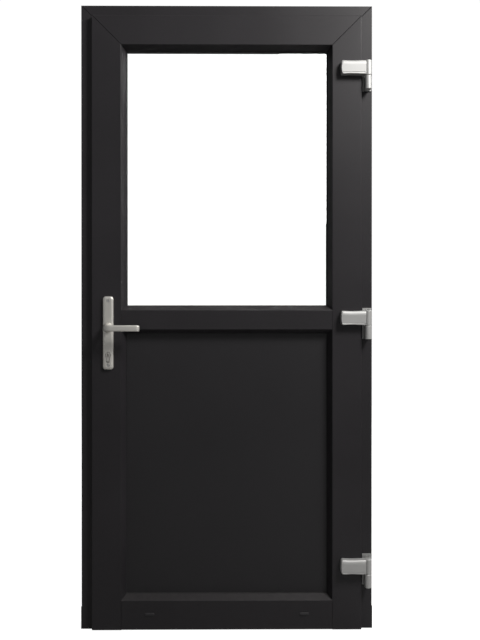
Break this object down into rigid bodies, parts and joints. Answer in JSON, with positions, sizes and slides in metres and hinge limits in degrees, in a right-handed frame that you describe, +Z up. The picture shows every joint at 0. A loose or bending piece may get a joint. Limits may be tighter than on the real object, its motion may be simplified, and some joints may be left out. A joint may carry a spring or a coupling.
{
  "type": "half-glazed door",
  "caption": "Side door in its own frame: clear glass above, plain infill panel below, flag hinges, long-plate lever handles and a hook lock; it opens outwards.",
  "frame": {"origin": "underside of the threshold, at the middle of the frame's width and depth", "axes": "+Z up the jambs; +X towards the hinges; +Y from the outside, where the leaf opens to, towards the inside"},
  "size_m": [0.9832, 0.194, 2.1],
  "materials": {
    "dark_profile": "satin anthracite, very fine grain",
    "dark_plastic": "moulded, satin anthracite",
    "panel_skin": "smooth satin anthracite skin",
    "seal_rubber": "matt black",
    "clear_glass": "clear, polished",
    "spacer_aluminium": "mill finish",
    "pale_plastic": "moulded, pale",
    "zinc_steel": "zinc plated",
    "hardware_steel": "zinc plated",
    "threshold_aluminium": "anodised",
    "hinge_silver": "silver lacquer",
    "handle_silver": "satin anodised silver",
    "cylinder_nickel": "nickel plated"
  },
  "bodies": {
    "frame": {"frame_jamb_lock": "dark_profile", "frame_jamb_hinge": "dark_profile", "frame_head": "dark_profile", "frame_steels": "zinc_steel", "threshold": "threshold_aluminium", "threshold_end_blocks": "dark_plastic", "threshold_screws": "hardware_steel", "frame_gasket": "seal_rubber", "keep_blocks": "zinc_steel", "keep_screws": "hardware_steel", "hinge_frame_leaf_top": "hinge_silver", "hinge_frame_leaf_middle": "hinge_silver", "hinge_frame_leaf_bottom": "hinge_silver", "hinge_pin_top": "hardware_steel", "hinge_pin_middle": "hardware_steel", "hinge_pin_bottom": "hardware_steel", "hinge_frame_screws": "hardware_steel"},
    "leaf": {"sash_stile_lock": "dark_profile", "sash_stile_hinge": "dark_profile", "sash_rail_top": "dark_profile", "sash_rail_middle": "dark_profile", "sash_rail_bottom": "dark_profile", "sash_steels": "zinc_steel", "sash_gasket": "seal_rubber", "bottom_seal": "seal_rubber", "drain_covers": "dark_plastic", "glass_pane_outside": "clear_glass", "glass_pane_inside": "clear_glass", "glass_spacer": "spacer_aluminium", "glazing_blocks": "pale_plastic", "glazing_gaskets": "seal_rubber", "infill_panel": "panel_skin", "glass_beads": "dark_profile", "panel_beads": "dark_profile", "hinge_sash_leaf_top": "hinge_silver", "hinge_sash_leaf_middle": "hinge_silver", "hinge_sash_leaf_bottom": "hinge_silver", "hinge_cover_top": "hinge_silver", "hinge_cover_middle": "hinge_silver", "hinge_cover_bottom": "hinge_silver", "hinge_bushes": "pale_plastic", "hinge_sash_screws": "hardware_steel", "lock_faceplate": "zinc_steel", "lock_case": "zinc_steel", "hook_cases": "zinc_steel", "lock_screws": "hardware_steel", "cylinder_body": "cylinder_nickel", "handle_plate_outside": "handle_silver", "handle_plate_inside": "handle_silver", "handle_screws": "hardware_steel"},
    "lever": {"lever_outside": "handle_silver", "lever_inside": "handle_silver", "spindle": "zinc_steel", "lock_follower": "zinc_steel"},
    "latch": {"latch_bolt": "zinc_steel"},
    "key_plug": {"cylinder_plug": "cylinder_nickel"},
    "deadbolt": {"deadbolt": "zinc_steel"},
    "hook_upper": {"hook_upper": "zinc_steel"},
    "hook_lower": {"hook_lower": "zinc_steel"}
  },
  "joints": [
    {"name": "door_swing", "type": "hinge", "parent": "frame", "child": "leaf", "pos_m": [0.472, -0.061, 1.025], "axis": [0, 0, 1], "range_deg": [0, 110]},
    {"name": "lever_turn", "type": "hinge", "parent": "leaf", "child": "lever", "pos_m": [-0.396, -0.011, 1.018], "axis": [0, 1, 0], "range_deg": [0, 40], "stiffness_Nm_per_rad": 1.2, "springref_deg": -28.65},
    {"name": "latch_slide", "type": "slide", "parent": "leaf", "child": "latch", "axis": [1, 0, 0], "range_m": [0, 0.0112]},
    {"name": "key_turn", "type": "hinge", "parent": "leaf", "child": "key_plug", "pos_m": [-0.396, -0.011, 0.926], "axis": [0, -1, 0], "range_deg": [0, 360]},
    {"name": "deadbolt_slide", "type": "slide", "parent": "leaf", "child": "deadbolt", "axis": [-1, 0, 0], "range_m": [0, 0.02]},
    {"name": "hook_upper_swing", "type": "hinge", "parent": "leaf", "child": "hook_upper", "pos_m": [-0.418, -0.011, 1.55], "axis": [0, -1, 0], "range_deg": [0, 90]},
    {"name": "hook_lower_swing", "type": "hinge", "parent": "leaf", "child": "hook_lower", "pos_m": [-0.418, -0.011, 0.5], "axis": [0, -1, 0], "range_deg": [0, 90]}
  ],
  "couplings": [
    {"joint": "latch_slide", "follows": "lever_turn", "m_per_rad": 0.01604},
    {"joint": "key_turn", "follows": "deadbolt_slide", "rad_per_m": 314.16},
    {"joint": "hook_upper_swing", "follows": "deadbolt_slide", "rad_per_m": 78.54},
    {"joint": "hook_lower_swing", "follows": "deadbolt_slide", "rad_per_m": 78.54}
  ]
}
